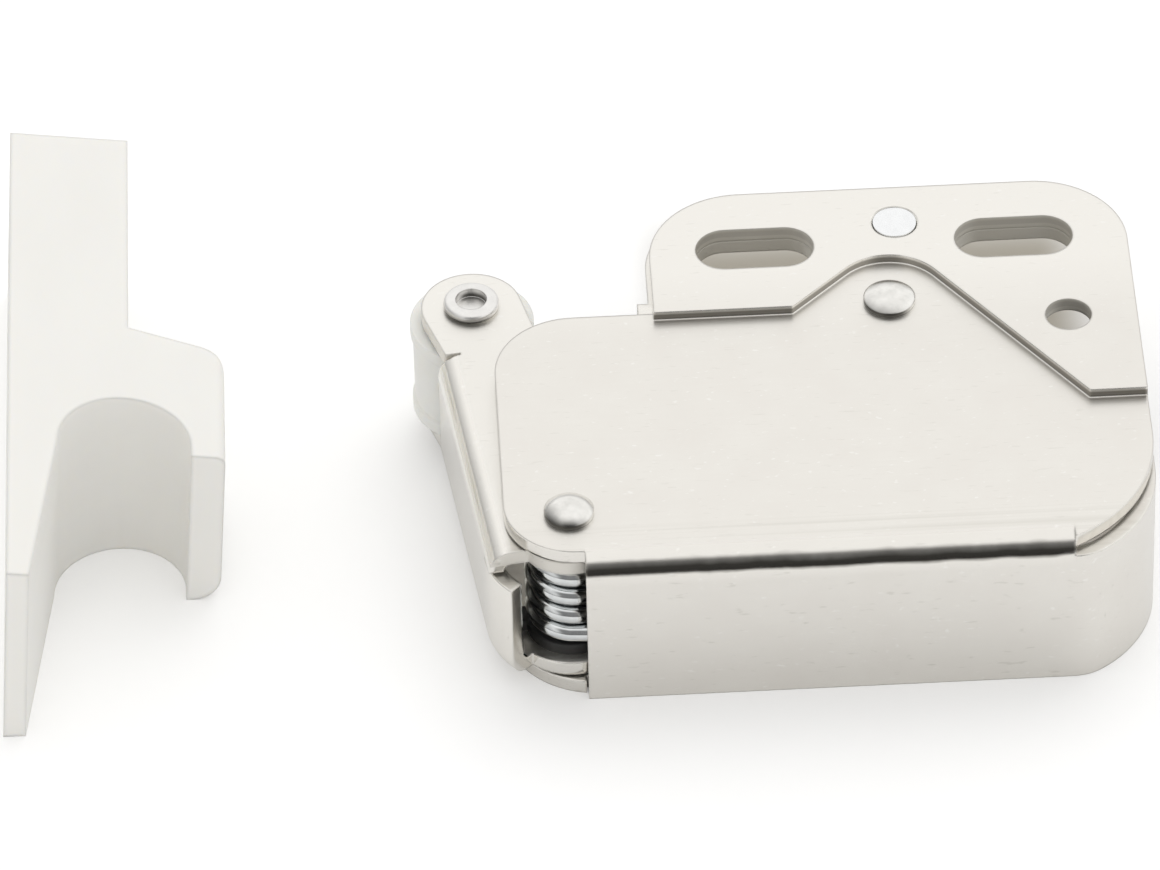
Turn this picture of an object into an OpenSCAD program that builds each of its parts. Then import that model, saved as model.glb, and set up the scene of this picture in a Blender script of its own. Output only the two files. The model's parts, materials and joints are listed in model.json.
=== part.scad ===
// Push-to-open cabinet latch with a roller lever and its hook-shaped striker.
// Origin: middle of the two fixing slots, on the mounting face. +Z leaves that face.
// The case is drawn about the lever pivot with its base at z = 0, then moved to that origin.

/* [Case] */
// Thickness of the sheet of the case and the lever
sheet_t = 0.9; // [0.7:0.05:1.1]
// Inside radius of the bends of the base
bend_in = 0.2; // [0.1:0.05:0.4]
// Inside radius of the bend between the cover and the front wall
fold_in = 0.8; // [0.5:0.05:0.8]
// Height of the case, base underside to cover top
case_h = 10.6; // [9.8:0.1:12]
// Lever pivot to the left edge of the cover
case_left = 3.75; // [3.5:0.05:4.5]
// Lever pivot to the outer face of the right wall
case_right = 34; // [32.5:0.5:38]
// Lever pivot to the outer face of the front wall
case_front = 4.35; // [4.25:0.05:5.5]
// Lever pivot to the rear edge beside the lever
case_rear = 17; // [16.6:0.1:17.4]
// Corner radius at the front left
front_left_r = 4.2; // [3:0.1:5]
// Corner radius at the rear left
rear_left_r = 4.7; // [3:0.1:5.5]
// Corner radius of the wall at the front right
front_right_r = 7.95; // [7.5:0.05:8.5]
// Lever pivot to the middle of that corner
front_right_y = 2.75; // [2:0.05:3]
// Radius between the front wall and that corner
front_blend_r = 3; // [2:0.1:4]
// Lever pivot to the front edge of the cover beside the wall
cover_nose = 3.25; // [3:0.05:3.4]
// Corner radius of the cover above the front right corner
cover_corner_r = 9.5; // [9:0.1:10]
// Lever pivot to the middle of the cover's corner
cover_corner_y = 4.6; // [4.4:0.05:4.8]
// Lever pivot to the left end of the front wall
wall_start = 0.75; // [0.5:0.05:1.5]
// Right wall: lever pivot to its rear end
wall_end = 13; // [8:0.5:15]
// Lever pivot to the right end of the rear wall
rear_wall_end = 27.4; // [25:0.1:28]
// Lever pivot to the front edge of the base beside the wall
base_nose = 3.9; // [3.5:0.05:4.2]
// Corner radius of the base there
base_nose_r = 5.3; // [4:0.1:6]
// Slit between the cover and the top of the wrapped wall
wall_slit = 0.25; // [0.2:0.05:0.6]

/* [Mounting pad] */
// Height of the raised pad above the cover
pad_step = 0.6; // [0.3:0.05:0.7]
// Lever pivot to the left edge of the pad
pad_left = 5.75; // [5.2:0.05:6.5]
// Lever pivot to the rear edge of the pad
pad_rear = 26.7; // [25.6:0.1:30]
// Corner radius of the pad
pad_r = 5.5; // [3:0.1:6.5]
// Lever pivot to the front edge of the pad on the left
pad_front_left = 16.45; // [15.5:0.05:16.5]
// Lever pivot to the front edge of the pad on the right
pad_front_right = 7.9; // [6:0.1:11]
// Radius of the arch of the pad round the follower rivet
arch_r = 3.45; // [2.6:0.05:3.6]
// Slope of the pad edge left of the arch, in degrees
arch_slope_left = 44; // [38:1:50]
// Slope of the pad edge right of the arch, in degrees
arch_slope_right = 54; // [48:1:60]
// How far the lower flange stands out on the left
flange_lip = 0.25; // [0:0.05:0.4]

/* [Fixing] */
// Distance between the fixing slots
slot_pitch = 15.3; // [14:0.1:17]
// Length of a fixing slot, end to end
slot_len = 7; // [5:0.1:8]
// Width of a fixing slot
slot_w = 3.5; // [3:0.1:4]
// Middle of the slots, right of the lever pivot
slot_x = 19.65; // [18.5:0.05:20.5]
// Middle of the slots, behind the lever pivot
slot_y = 21.77; // [21.4:0.01:23]
// Diameter of the round fixing hole
hole_d = 2.72; // [2:0.02:3.6]
// Round fixing hole, right of the lever pivot
hole_x = 29.95; // [28.5:0.05:30.5]
// Round fixing hole, behind the lever pivot
hole_y = 14.6; // [13.5:0.1:15.5]
// Diameter of the driver hole in the base below it
driver_d = 4.4; // [3.8:0.1:4.6]

/* [Rivets] */
// Diameter of the pivot rivet's and follower rivet's shank
shank_d = 2; // [1.6:0.05:2.2]
// Diameter of the pivot rivet's head
pivot_head_d = 2.9; // [2.6:0.05:4]
// Height of the pivot rivet's head
pivot_head_h = 0.95; // [0.5:0.05:1.3]
// Diameter of the follower rivet's head
follower_head_d = 3.05; // [2.6:0.05:4]
// Height of the follower rivet's head
follower_head_h = 0.7; // [0.5:0.05:1.1]
// Height of the straight rim of both heads
head_rim = 0.3; // [0.1:0.05:0.4]
// Follower rivet, right of the lever pivot
follower_x = 19.64; // [18.8:0.02:20.4]
// Follower rivet, behind the lever pivot
follower_y = 17.19; // [16.9:0.01:17.6]
// Diameter of the flush flange rivet
flush_d = 2.58; // [2:0.02:3]
// Flange rivet, right of the lever pivot
flush_x = 20.39; // [19.4:0.01:20.6]
// Flange rivet, behind the lever pivot
flush_y = 23.55; // [22.8:0.05:24]
// Width and depth of the groove round the flange rivet
flush_groove = 0.14; // [0.05:0.01:0.3]
// Diameter of the flange rivet's lower head
flush_head_d = 4; // [3.4:0.1:5]
// Outside diameter of the sleeve that the lever turns on
sleeve_d = 2.7; // [2.6:0.05:2.9]

/* [Lever] */
// Lever pivot to the roller axis, along the lever
lever_len = 20.18; // [19:0.02:21]
// Turn of the closed lever to the left of straight back, in degrees
lever_turn = 13.9; // [12:0.1:16]
// End radius of the lever's upper plate at the pivot
lever_pivot_r = 3.05; // [2.6:0.05:3.05]
// End radius of the lever's lower plate at the pivot
lever_foot_r = 3.35; // [2.8:0.05:3.4]
// End radius of the lever at the roller
lever_roller_r = 2.95; // [2.6:0.05:3.2]
// Pivot axis to the outer face of the lever's web
web_out = 5; // [4.7:0.05:5.1]
// Taper of the web towards the roller, in degrees
web_taper = 6.5; // [5.5:0.1:7]
// Inside radius of the web's bends
web_bend_in = 0.5; // [0.2:0.05:0.6]
// How far the web's upper bend runs before the pivot
web_front = 1.5; // [1:0.1:1.8]
// Turn of the web's front end round the pivot, in degrees
web_wrap = 37; // [20:1:40]
// Drop of that front end below the upper bend
wrap_drop = 0.2; // [0.1:0.05:1]
// Web: how far its rear end lies behind the pivot
web_rear = 16; // [14:0.1:16.2]
// Lean of the plates' free edge between the web and the roller, in degrees
neck_lean = 5; // [2:0.5:8]
// Largest swing of the lever towards open, in degrees
swing_open = 34; // [20:1:34]
// Over-travel of the lever when pushed, in degrees
swing_push = 6; // [3:1:7]

/* [Roller] */
// Diameter of the roller over its rims
roller_d = 7.3; // [6.4:0.1:7.4]
// Height of each rim of the roller
roller_rim_h = 0.75; // [0.5:0.05:1.2]
// Depth of the waist between the rims
roller_waist = 0.14; // [0.05:0.01:0.3]
// Outside diameter of the eyelet's tube
eyelet_d = 2.4; // [2:0.05:2.6]
// Diameter of the hollow in each end of the eyelet
eyelet_hole_d = 1.85; // [1.2:0.05:1.85]
// Depth of that hollow
eyelet_hole_h = 0.6; // [0.4:0.1:3]
// Diameter of the eyelet's rolled rim
eyelet_rim_d = 3.3; // [2.8:0.05:4]
// Height of the eyelet's rolled rim
eyelet_rim_h = 0.6; // [0.4:0.05:0.7]

/* [Spring] */
// Diameter of the spring wire
wire_d = 1.2; // [0.9:0.05:1.25]
// Length of the leg that pushes on the lever's web
web_leg = 7; // [4:0.5:9]
// Length of the leg that rests on the front wall
wall_leg = 5; // [3:0.5:5.5]
// Turn of the wall leg towards the front wall, in degrees
wall_leg_turn = 4; // [0:0.5:4]

/* [Track and follower] */
// Pivot axis to the follower's tip when closed
tip_r = 8.6; // [8:0.1:9.2]
// Turn of the follower's tip from the right of the pivot, in degrees
tip_turn = 26; // [22:1:30]
// Free swing of the follower in its lane to each side, in degrees
link_play = 1.5; // [0.5:0.1:1.6]
// Diameter of the follower wire
link_d = 1.1; // [0.8:0.05:1.2]
// Height of the cam block's hub
hub_h = 0.7; // [0.6:0.05:1]
// Diameter of the cam block's hub
hub_d = 5.2; // [4.6:0.1:5.4]
// Height of the cam block at its track
cam_h = 2.75; // [2.3:0.05:3]
// Depth of the track
track_depth = 1.4; // [1:0.1:1.6]
// Least wall of the cam block beside the track
cam_wall = 0.8; // [0.6:0.1:1.2]
// Width of the island that the track runs round
island_w = 0.9; // [0.6:0.1:1.2]

/* [Striker] */
// Length of the striker along its mounting face
strike_len = 38.8; // [36:0.1:44]
// Height of the striker at its mounting face
strike_h = 12.8; // [10:0.1:14]
// Taper of each side of the striker, in degrees
strike_taper = 4; // [2:0.5:5]
// Thickness of the striker's screw block
block_t = 7; // [5.5:0.1:8]
// Reach of the hook from the mounting face
hook_reach = 12.6; // [12.3:0.1:13]
// Radius of the hook's outer corner
hook_r = 2; // [1:0.1:2.6]
// Front end to the middle of the hook's outer corner
hook_y = 18.7; // [18:0.1:20]
// Slope of the hook's shoulder, in degrees
hook_slope = 17; // [8:1:25]
// Radius of the hook's upper outer edge
edge_upper_r = 0.6; // [0.2:0.1:1]
// Radius of the hook's lower outer edge
edge_lower_r = 1.8; // [0.5:0.1:2]
// Front end to the tip of the finger
finger_y = 11; // [9:0.1:11.5]
// Radius of the arch that holds the roller
hook_arch_r = 3.85; // [3.75:0.05:4.1]
// Front end to the middle of that arch
hook_arch_y = 11.8; // [11.5:0.1:12.5]
// Thickness of the striker behind the arch
foot_t = 2.9; // [2.3:0.1:3.2]
// Thickness of the striker at its front end
ramp_t = 1.3; // [0.9:0.1:2]
// Diameter of the striker's screw holes
strike_hole_d = 3.6; // [3:0.1:4]
// Diameter of the countersinks of those holes
strike_sink_d = 6.8; // [5:0.1:7.4]
// Distance between the striker's screw holes
strike_hole_pitch = 7.8; // [7.5:0.1:8.2]
// Rear end of the striker to its rear screw hole
strike_hole_end = 4.2; // [3.8:0.1:4.4]
// Lever pivot to the striker's mounting face
strike_x = 33.1; // [33:0.1:45]
// Turn of the striker towards the latch, in degrees
strike_turn = 0.7; // [0:0.1:2]
// Striker's front end, before the lever pivot
strike_front = 5.2; // [3:0.1:8]

/* [Clearances] */
// Radial running clearance on sleeve, eyelet and follower rivet
run_gap = 0.05; // [0.02:0.01:0.08]
// Gap between the lever and the case plates
lever_gap = 0.15; // [0.1:0.05:0.3]
// Gap between the roller and the lever plates
roller_gap = 0.2; // [0.15:0.05:0.4]
// Gap between the base and the walls round it
fit_gap = 0.1; // [0.05:0.01:0.2]
// Gap round the spring and inside the track
loose_gap = 0.15; // [0.1:0.01:0.25]
// Gap between moving pieces that pass each other
pass_gap = 0.35; // [0.3:0.05:0.5]

/* [Hidden] */
$fn = 64;
far = 100;
eps = 0.01;

// Heights of the sheet layers
plate_z0 = case_h - sheet_t;
pad_z1 = case_h + pad_step;
pad_z0 = pad_z1 - sheet_t;
flange_z0 = pad_z0 - sheet_t;
bend_r = sheet_t + bend_in;
fold_r = sheet_t + fold_in;

// Walls of the case
front_in = case_front - sheet_t;
corner_at = [case_right - front_right_r, front_right_y];
blend_y = front_blend_r - case_front;
blend_at = [corner_at.x + sqrt(pow(front_right_r - front_blend_r, 2) - pow(front_right_y - blend_y, 2)),
    blend_y];
blend_turn = atan2(blend_at.y - corner_at.y, blend_at.x - corner_at.x);
wall_top = plate_z0 - wall_slit;
bend_end = blend_at.x;
base_inset = sheet_t + fit_gap;
base_right = case_right - base_inset;
base_front = case_front - base_inset;

// Rear wall of the base, behind the rear edge of the cover
rear_in = case_rear + loose_gap;
rear_out = rear_in + sheet_t;
rear_lug = sheet_t;
ear_wall = 1.6;
ear_r = shank_d / 2 + ear_wall;
window_half = ear_r + pass_gap;

// Follower rivet and flange rivet
follower_at = [follower_x, follower_y];
flush_at = [flush_x, flush_y];
flush_head_h = 0.6;
tail_h = 0.5;
tail_r = shank_d / 2 + tail_h;
tail_recess = 0.05;
tail_gap = 0.02;

// Lever plates and what stands between them
lever_z0 = sheet_t + lever_gap;
lever_z1 = plate_z0 - lever_gap;
inner_z0 = lever_z0 + sheet_t;
inner_z1 = lever_z1 - sheet_t;
web_relief = 0.15;
web_bend_r = sheet_t + web_bend_in;
wrap_z1 = lever_z1 - web_bend_r - wrap_drop;
roller_at = [0, lever_len];
roller_z0 = inner_z0 + roller_gap;
roller_z1 = inner_z1 - roller_gap;
bore_r = sleeve_d / 2 + run_gap;

// Spring: whole turns that fit over the hub, plus the part turn between its legs
coil_r = sleeve_d / 2 + loose_gap + wire_d / 2;
coil_z0 = inner_z0 + hub_h + run_gap + wire_d / 2;
coil_z1 = inner_z1 - loose_gap - wire_d / 2;
web_leg_turn = asin((web_out - sheet_t - loose_gap - wire_d / 2 - coil_r) / web_leg);
coil_start = 180 + lever_turn - web_taper + web_leg_turn;
coil_end = 270 - wall_leg_turn;
part_turn = (coil_end - coil_start) / 360;
coil_turns = floor((coil_z1 - coil_z0) / (wire_d + eps) - part_turn) + part_turn;
coil_steps = 24 * ceil(coil_turns);
wire_sides = 10;

// Track: lanes about the lever pivot, with room for the follower's tip and its free swing
tip_at = tip_r * [cos(tip_turn), sin(tip_turn)];
link_reach = tip_at - follower_at;
link_len = norm(link_reach);
link_turn = atan2(link_reach.y, link_reach.x);
lane_r0 = tip_r - link_d / 2 - pass_gap;
lane_r1 = tip_r + link_d / 2 + pass_gap;
lane_end = (link_d / 2 + pass_gap + link_len * sin(link_play)) / lane_r0 * 180 / PI;
lane_a0 = tip_turn - swing_open - lane_end;
lane_a1 = tip_turn + swing_push + lane_end;
return_r0 = lane_r1 + island_w;
return_r1 = return_r0 + link_d + loose_gap;
cross_a = 2 * lane_end;
cam_r = return_r1 + cam_wall;
cam_side = cam_wall / lane_r0 * 180 / PI;
cam_z1 = inner_z0 + cam_h;
track_z0 = cam_z1 - track_depth;
link_z = cam_z1 + pass_gap + link_d / 2;
eye_r = shank_d / 2 + run_gap + link_d / 2;
spacer_wall = 0.7;
spacer_r = shank_d / 2 + spacer_wall;

// Striker
arch_x = foot_t + hook_arch_r;
strike_rear_hole = strike_len - strike_hole_end;
sink_h = (strike_sink_d - strike_hole_d) / 2;

module in_frame() {
    translate([-slot_x, -slot_y, -pad_z1]) children();
}

module on_lever() {
    rotate([0, 0, lever_turn]) children();
}

// Along X from x0 to x1, with the outline's x as Y and its y as Z
module along_x(x0, x1) {
    translate([x0, 0, 0]) rotate([90, 0, 90]) linear_extrude(x1 - x0) children();
}

module slab(z0, z1) {
    translate([0, 0, z0]) linear_extrude(z1 - z0) children();
}

// Box with the radii r = front left, front right, rear right, rear left
module rounded_box(x0, y0, x1, y1, r) {
    front_left = r[0] > 0 ? [[x0, y0 + r[0]], [x0 + r[0], y0]] : [[x0, y0]];
    front_right = r[1] > 0 ? [[x1 - r[1], y0], [x1, y0 + r[1]]] : [[x1, y0]];
    rear_right = r[2] > 0 ? [[x1, y1 - r[2]], [x1 - r[2], y1]] : [[x1, y1]];
    rear_left = r[3] > 0 ? [[x0 + r[3], y1], [x0, y1 - r[3]]] : [[x0, y1]];
    polygon(concat(front_left, front_right, rear_right, rear_left));
    if (r[0] > 0) translate([x0 + r[0], y0 + r[0]]) circle(r[0]);
    if (r[1] > 0) translate([x1 - r[1], y0 + r[1]]) circle(r[1]);
    if (r[2] > 0) translate([x1 - r[2], y1 - r[2]]) circle(r[2]);
    if (r[3] > 0) translate([x0 + r[3], y1 - r[3]]) circle(r[3]);
}

// Quarter ring of a bend about the origin, in the quadrant towards sx, sy
module bend(sx, sy, r_in) {
    intersection() {
        difference() {
            circle(r_in + sheet_t);
            circle(r_in);
        }
        mirror([sx < 0 ? 1 : 0, 0]) mirror([0, sy < 0 ? 1 : 0]) square(far);
    }
}

// Flat ring sector from turn a0 to a1
module sector(r0, r1, a0, a1) {
    intersection() {
        difference() {
            circle(r1);
            if (r0 > 0) circle(r0);
        }
        polygon([[0, 0], far * [cos(a0), sin(a0)], far * [cos(a1), sin(a1)]]);
    }
}

module tube(r_in, r_out, z0, z1) {
    slab(z0, z1) difference() {
        circle(r_out);
        circle(r_in);
    }
}

module slots() {
    for (side = [-1, 1]) translate([slot_x + side * slot_pitch / 2, slot_y]) {
        square([slot_len - slot_w, slot_w], center = true);
        for (end = [-1, 1]) translate([end * (slot_len - slot_w) / 2, 0]) circle(slot_w / 2);
    }
}

// Head of a rivet: straight rim with a dome on it
module rivet_head(d, h) {
    dome_h = h - head_rim;
    dome_r = (pow(d / 2, 2) + pow(dome_h, 2)) / (2 * dome_h);
    intersection() {
        cylinder(d = d, h = h);
        translate([0, 0, h - dome_r]) sphere(dome_r);
    }
}

// Shank from the cover down to a tail that is peened into the base
module shank() {
    translate([0, 0, tail_recess]) cylinder(r1 = tail_r, r2 = shank_d / 2, h = tail_h);
    translate([0, 0, tail_recess]) cylinder(d = shank_d, h = case_h - tail_recess);
}

module shank_hole() {
    translate([0, 0, tail_recess])
        cylinder(r1 = tail_r + tail_gap, r2 = shank_d / 2 + tail_gap, h = tail_h);
    translate([0, 0, -sheet_t]) cylinder(r = tail_r + tail_gap, h = sheet_t + tail_recess);
    cylinder(r = shank_d / 2 + tail_gap, h = far);
}

// Part of the plan that stays low: everything before the stepped edge of the pad
module low_zone(grow) {
    r = arch_r + grow;
    left = follower_at + r * [-sin(arch_slope_left), cos(arch_slope_left)];
    right = follower_at + r * [sin(arch_slope_right), cos(arch_slope_right)];
    left_y = pad_front_left + grow;
    right_y = pad_front_right + grow;
    left_x = left.x - (left.y - left_y) / tan(arch_slope_left);
    right_x = right.x + (right.y - right_y) / tan(arch_slope_right);
    translate(follower_at) circle(r);
    polygon([[-far, -far], [far, -far], [far, right_y], [right_x, right_y], right, follower_at, left,
        [left_x, left_y], [-far, left_y]]);
    translate([-far, 0]) square([far + pad_left, case_rear + grow]);
}

// Right half of the case's plan, drawn in by an inset
module right_plan(inset) {
    r = front_right_r - inset;
    front = inset - case_front;
    right = case_right - inset;
    polygon([[corner_at.x / 2, front], [blend_at.x, front], blend_at, corner_at,
        [right, front_right_y], [right, far], [corner_at.x / 2, far]]);
    translate(blend_at) circle(front_blend_r - inset);
    translate(corner_at) sector(0, r, blend_turn, 0);
}

// Whole plan of the cover, as it is cut before the pad is raised
module cover_plan() {
    difference() {
        rounded_box(-case_left, -cover_nose, bend_end + eps, case_rear, [front_left_r, 0, 0, rear_left_r]);
        translate([wall_start, -far]) square([far, far + fold_r - case_front]);
    }
    intersection() {
        translate([bend_end, -far]) square([far, 2 * far]);
        translate([case_right - cover_corner_r, cover_corner_y]) sector(0, cover_corner_r, -90, 0);
    }
    translate([bend_end, cover_corner_y]) square([case_right - bend_end, case_rear - cover_corner_y]);
    rounded_box(pad_left, pad_front_right, case_right, pad_rear, [0, 0, pad_r, pad_r]);
}

module cover_shell() {
    color([0.86, 0.85, 0.82]) {
        difference() {
            union() {
                slab(plate_z0, case_h) intersection() {
                    cover_plan();
                    low_zone(0);
                }
                slab(pad_z0, pad_z1) difference() {
                    cover_plan();
                    low_zone(0);
                }
            }
            slab(0, far) slots();
            translate([hole_x, hole_y, 0]) cylinder(d = hole_d, h = far);
            translate([flush_x, flush_y, 0]) cylinder(d = flush_d + 2 * tail_gap, h = far);
            translate([flush_x, flush_y, pad_z1 - flush_groove])
                cylinder(d1 = flush_d, d2 = flush_d + 4 * flush_groove, h = 2 * flush_groove);
            cylinder(r = shank_d / 2 + tail_gap, h = far);
            translate(follower_at) cylinder(r = shank_d / 2 + tail_gap, h = far);
        }
        along_x(wall_start, bend_end) translate([fold_r - case_front, case_h - fold_r]) bend(-1, 1, fold_in);
        translate([wall_start, -case_front, 0]) cube([bend_end - wall_start, sheet_t, case_h - fold_r]);
        slab(0, wall_top) intersection() {
            difference() {
                right_plan(0);
                right_plan(sheet_t);
            }
            translate([bend_end, -far]) square([far, far + wall_end]);
        }
    }
}

// Rear wall of the base with its bends to the bottom plate and to the flange
module rear_wall(x0, x1) {
    along_x(x0, x1) {
        translate([rear_out - bend_r, bend_r]) bend(1, -1, bend_in);
        translate([rear_in, bend_r]) square([sheet_t, flange_z0 - bend_in - bend_r]);
        translate([rear_out + bend_in, flange_z0 - bend_in]) bend(-1, 1, bend_in);
    }
}

module base_shell() {
    color([0.80, 0.79, 0.76]) difference() {
        union() {
            slab(0, sheet_t) {
                difference() {
                    rounded_box(-case_left, -base_nose, corner_at.x, rear_out - bend_r,
                        [base_nose_r, 0, 0, 0]);
                    translate([wall_start - fit_gap, -far]) square([far, far - base_front]);
                }
                intersection() {
                    right_plan(base_inset);
                    translate([0, -far]) square([far, far + rear_out - bend_r]);
                }
                rounded_box(-case_left, 0, pad_left - rear_lug, case_rear, [0, 0, 0, rear_left_r]);
                translate(follower_at) circle(ear_r);
                translate([follower_x - ear_r, 0]) square([2 * ear_r, follower_y]);
            }
            rear_wall(pad_left - rear_lug, follower_x - window_half);
            rear_wall(follower_x + window_half, rear_wall_end);
            slab(flange_z0, pad_z0) difference() {
                rounded_box(pad_left - flange_lip, 0, case_right - flange_lip,
                    pad_rear - flange_lip, [0, 0, pad_r - flange_lip, pad_r - flange_lip]);
                low_zone(fit_gap);
                translate([-far, -far]) square([2 * far, far + rear_out + bend_in]);
            }
        }
        slab(plate_z0 - fit_gap, far) low_zone(fit_gap);
        slab(flange_z0 - eps, far) slots();
        translate([hole_x, hole_y, -eps]) cylinder(d = driver_d, h = sheet_t + 2 * eps);
        translate([flush_x, flush_y, flange_z0 - eps]) cylinder(d = flush_d + 2 * tail_gap, h = far);
        shank_hole();
        translate(follower_at) shank_hole();
    }
}

module pivot_rivet() {
    color([0.82, 0.82, 0.80]) {
        shank();
        translate([0, 0, case_h]) rivet_head(pivot_head_d, pivot_head_h);
    }
}

module pivot_sleeve() {
    color([0.70, 0.71, 0.72]) tube(shank_d / 2 + tail_gap, sleeve_d / 2, sheet_t, plate_z0);
}

module follower_rivet() {
    color([0.82, 0.82, 0.80]) translate(follower_at) {
        shank();
        translate([0, 0, case_h]) rivet_head(follower_head_d, follower_head_h);
    }
}

module lower_spacer() {
    color([0.70, 0.71, 0.72]) translate(follower_at)
        tube(shank_d / 2 + tail_gap, spacer_r, sheet_t, link_z - link_d / 2 - run_gap);
}

module upper_spacer() {
    color([0.70, 0.71, 0.72]) translate(follower_at)
        tube(shank_d / 2 + tail_gap, spacer_r, link_z + link_d / 2 + run_gap, plate_z0);
}

module flange_rivet() {
    color([0.93, 0.94, 0.95]) translate(flush_at) {
        translate([0, 0, flange_z0]) cylinder(d = flush_d, h = 2 * sheet_t);
        translate([0, 0, flange_z0 - flush_head_h]) cylinder(d = flush_head_d, h = flush_head_h);
    }
}

// Lever plate seen from above, its pivot at the origin and its roller straight behind
module lever_plan(pivot_r) {
    lean = asin((pivot_r - lever_roller_r) / lever_len);
    side = [cos(lean), sin(lean)];
    neck = roller_at - lever_roller_r * [cos(neck_lean), sin(neck_lean)];
    circle(pivot_r);
    translate(roller_at) circle(lever_roller_r);
    polygon([pivot_r * side, roller_at + lever_roller_r * side, neck, [neck.x + neck.y * tan(neck_lean), 0]]);
}

// Places its children on the web: x outward from the pivot axis, y along the web
module on_web() {
    rotate([0, 0, -web_taper]) children();
}

// Plate of the lever up to the fold of its web, which starts at front
module lever_plate(z0, pivot_r, front) {
    fold = web_bend_r - web_out;
    slab(z0, z0 + sheet_t) {
        difference() {
            lever_plan(pivot_r);
            on_web() translate([-far, -far]) square([far + fold, far + web_rear + web_relief]);
        }
        on_web() translate([fold, front]) square([-fold, web_rear - front]);
    }
}

// Section of the web's front end, with the lower bend and the plate below it
module wrap_section() {
    translate([sleeve_d, lever_z0]) square([web_out - web_bend_r - sleeve_d, sheet_t]);
    translate([web_out - web_bend_r, lever_z0 + web_bend_r]) bend(1, -1, web_bend_in);
    translate([web_out - sheet_t, lever_z0 + web_bend_r]) square([sheet_t, wrap_z1 - lever_z0 - web_bend_r]);
}

module lever() {
    fold = web_bend_r - web_out;
    web_h = lever_z1 - lever_z0 - 2 * web_bend_r;
    color([0.84, 0.83, 0.80]) on_lever() {
        difference() {
            union() {
                lever_plate(lever_z0, lever_foot_r, 0);
                lever_plate(inner_z1, lever_pivot_r, -web_front);
            }
            translate([0, 0, -eps]) cylinder(r = bore_r, h = far);
            translate(roller_at) translate([0, 0, -eps]) cylinder(r = eyelet_d / 2 + tail_gap, h = far);
        }
        on_web() {
            translate([0, web_rear, 0]) rotate([90, 0, 0]) linear_extrude(web_front + web_rear)
                translate([fold, lever_z1 - web_bend_r]) bend(-1, 1, web_bend_in);
            translate([0, web_rear, 0]) rotate([90, 0, 0]) linear_extrude(web_rear) {
                translate([fold, lever_z0 + web_bend_r]) bend(-1, -1, web_bend_in);
                translate([-web_out, lever_z0 + web_bend_r]) square([sheet_t, web_h]);
            }
            rotate([0, 0, 180]) rotate_extrude(angle = web_wrap) wrap_section();
        }
    }
}

// Pin with a rolled rim and a hollow at each end
module roller_eyelet() {
    rim_r = eyelet_rim_h / 2;
    color([0.80, 0.80, 0.79]) on_lever() translate(roller_at) difference() {
        union() {
            slab(lever_z0 - rim_r, lever_z1 + rim_r) circle(eyelet_d / 2);
            for (z = [lever_z0 - rim_r, lever_z1 + rim_r]) translate([0, 0, z]) {
                rotate_extrude() translate([eyelet_rim_d / 2 - rim_r, 0]) circle(rim_r);
                translate([0, 0, -rim_r])
                    cylinder(r = eyelet_rim_d / 2 - rim_r, h = 2 * rim_r);
            }
        }
        for (z = [lever_z0 - eyelet_rim_h, lever_z1 + eyelet_rim_h - eyelet_hole_h])
            translate([0, 0, z]) cylinder(d = eyelet_hole_d, h = eyelet_hole_h);
    }
}

module roller() {
    r = roller_d / 2;
    waist = r - roller_waist;
    bore = eyelet_d / 2 + run_gap;
    color([0.93, 0.93, 0.91]) on_lever() translate(roller_at) rotate_extrude()
        polygon([[bore, roller_z0], [r, roller_z0], [r, roller_z0 + roller_rim_h],
            [waist, roller_z0 + roller_rim_h + roller_waist],
            [waist, roller_z1 - roller_rim_h - roller_waist],
            [r, roller_z1 - roller_rim_h], [r, roller_z1], [bore, roller_z1]]);
}

// Rings of points round the wire: web leg, coil, wall leg
function ring(at, out) =
    [for (i = [0 : wire_sides - 1])
        at + wire_d / 2 * (cos(360 * i / wire_sides) * out + sin(360 * i / wire_sides) * [0, 0, 1])];
function coil_at(a, z) = [coil_r * cos(a), coil_r * sin(a), z];
function outward(a) = [cos(a), sin(a), 0];
function onward(a) = [-sin(a), cos(a), 0];

module torsion_spring() {
    sweep = 360 * coil_turns;
    steps = [for (i = [0 : coil_steps]) i / coil_steps];
    rings = concat(
        [ring(coil_at(coil_start, coil_z1) - web_leg * onward(coil_start), outward(coil_start))],
        [for (s = steps) ring(coil_at(coil_start + sweep * s, coil_z1 - (coil_z1 - coil_z0) * s),
            outward(coil_start + sweep * s))],
        [ring(coil_at(coil_end, coil_z0) + wall_leg * onward(coil_end), outward(coil_end))]);
    count = len(rings);
    side_faces = [for (k = [0 : count - 2], i = [0 : wire_sides - 1])
        [k * wire_sides + i, k * wire_sides + (i + 1) % wire_sides,
            (k + 1) * wire_sides + (i + 1) % wire_sides, (k + 1) * wire_sides + i]];
    start_face = [[for (i = [wire_sides - 1 : -1 : 0]) i]];
    end_face = [[for (i = [0 : wire_sides - 1]) (count - 1) * wire_sides + i]];
    color([0.72, 0.74, 0.77])
        polyhedron([for (r = rings, p = r) p], concat(side_faces, start_face, end_face));
}

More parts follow.
